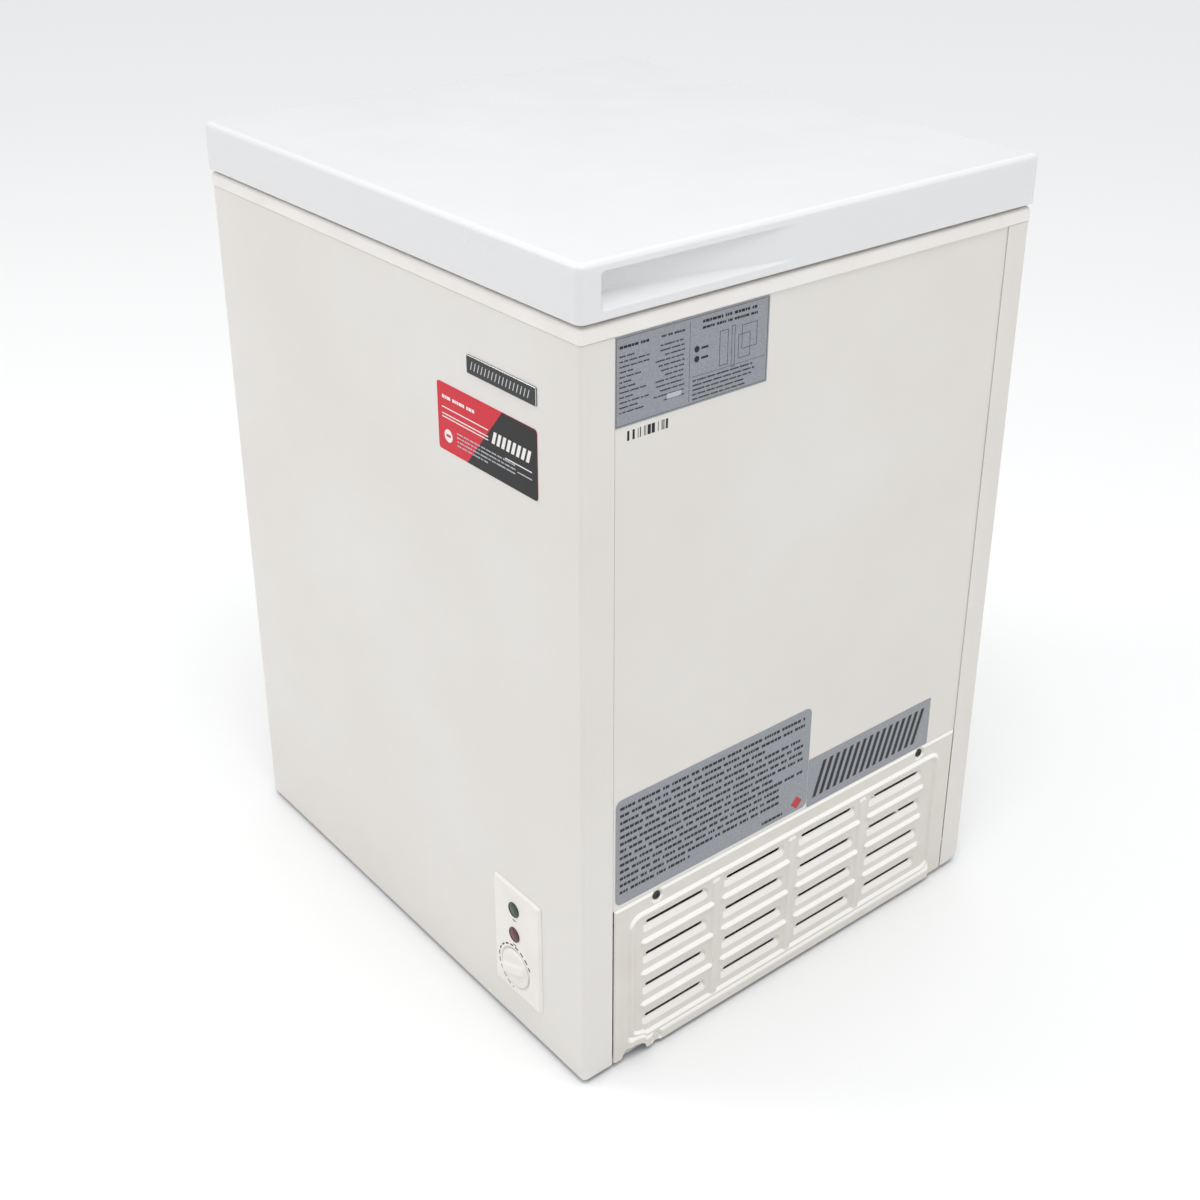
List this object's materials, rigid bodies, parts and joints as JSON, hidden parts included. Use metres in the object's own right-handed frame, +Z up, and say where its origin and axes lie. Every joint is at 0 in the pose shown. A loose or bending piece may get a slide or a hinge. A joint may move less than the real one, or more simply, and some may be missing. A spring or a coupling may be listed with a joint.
{
  "type": "chest freezer",
  "caption": "Compact white chest freezer: insulated cabinet with stepped liner, hinged lid, louvred machine bay cover and dial thermostat.",
  "frame": {"origin": "middle of the whole object's footprint, on the floor", "axes": "+Z up, -Y towards the front panel with the controls, +X towards the side with the louvred cover"},
  "size_m": [0.636, 0.5914, 0.85],
  "materials": {
    "white_enamel": "satin",
    "white_lid": "gloss",
    "white_abs": "satin",
    "cover_plastic": "satin",
    "liner_enamel": "satin",
    "galvanised_sheet": "satin",
    "foam": "matte",
    "black_enamel": "gloss",
    "copper_tube": "satin",
    "zinc_steel": "satin",
    "black_rubber": "matte",
    "grey_seal": "matte",
    "black_abs": "matte",
    "cream_plastic": "matte",
    "green_lens": "gloss",
    "red_lens": "gloss",
    "badge_black": "gloss",
    "sticker_print": "gloss",
    "label_foil": "satin",
    "coated_wire": "gloss"
  },
  "bodies": {
    "cabinet": {"front_panel": "white_enamel", "back_panel": "white_enamel", "right_side_panel": "white_enamel", "left_side_panel": "white_enamel", "base_pan": "galvanised_sheet", "bay_divider": "galvanised_sheet", "inner_liner": "liner_enamel", "cabinet_foam": "foam", "evaporator_coil": "copper_tube", "condenser_coil": "copper_tube", "compressor": "black_enamel", "compressor_grommet_1": "black_rubber", "compressor_grommet_2": "black_rubber", "compressor_grommet_3": "black_rubber", "compressor_grommet_4": "black_rubber", "compressor_bracket": "galvanised_sheet", "start_relay_box": "black_abs", "discharge_line": "copper_tube", "suction_line": "copper_tube", "capillary_tube": "copper_tube", "filter_drier": "copper_tube", "thermostat_body": "cream_plastic", "control_bezel": "white_abs", "green_lamp": "green_lens", "red_lamp": "red_lens", "wiring_harness": "black_rubber", "cover_screw_1": "zinc_steel", "cover_screw_2": "zinc_steel", "cover_screw_3": "zinc_steel", "compressor_cover": "cover_plastic", "rim_frame": "white_abs", "hinge_bracket_left": "zinc_steel", "hinge_pin_left": "zinc_steel", "hinge_spring_left": "zinc_steel", "hinge_bracket_right": "zinc_steel", "hinge_pin_right": "zinc_steel", "hinge_spring_right": "zinc_steel", "badge_plate": "badge_black", "front_sticker": "sticker_print", "rating_label": "label_foil", "warning_label": "label_foil", "lower_label": "label_foil", "foot_1": "black_rubber", "foot_2": "black_rubber", "foot_3": "black_rubber", "foot_4": "black_rubber", "cable_gland": "black_rubber", "drain_tube": "white_abs"},
    "lid": {"lid_outer": "white_lid", "lid_foam": "foam", "lid_inner": "white_abs", "lid_gasket": "grey_seal", "hinge_arm_left": "zinc_steel", "hinge_arm_right": "zinc_steel"},
    "knob": {"thermostat_knob": "white_abs", "thermostat_shaft": "zinc_steel"},
    "basket": {"wire_basket": "coated_wire"},
    "drain_plug": {"drain_plug": "black_rubber"},
    "drain_cap": {"drain_cap": "white_abs"}
  },
  "joints": [
    {"name": "lid_hinge", "type": "hinge", "parent": "cabinet", "child": "lid", "pos_m": [0, 0.28965, 0.792], "axis": [-1, 0, 0], "range_deg": [0, 85]},
    {"name": "thermostat_turn", "type": "hinge", "parent": "cabinet", "child": "knob", "pos_m": [0.2065, -0.28635, 0.077], "axis": [0, -1, 0], "range_deg": [-140, 130]},
    {"name": "basket_slide", "type": "slide", "parent": "cabinet", "child": "basket", "axis": [-1, 0, 0], "range_m": [-0.008, 0.29]},
    {"name": "drain_plug_pull", "type": "slide", "parent": "cabinet", "child": "drain_plug", "axis": [0, 0, 1], "range_m": [0, 0.02]},
    {"name": "drain_cap_pull", "type": "slide", "parent": "cabinet", "child": "drain_cap", "axis": [-1, 0, 0], "range_m": [0, 0.015]}
  ]
}
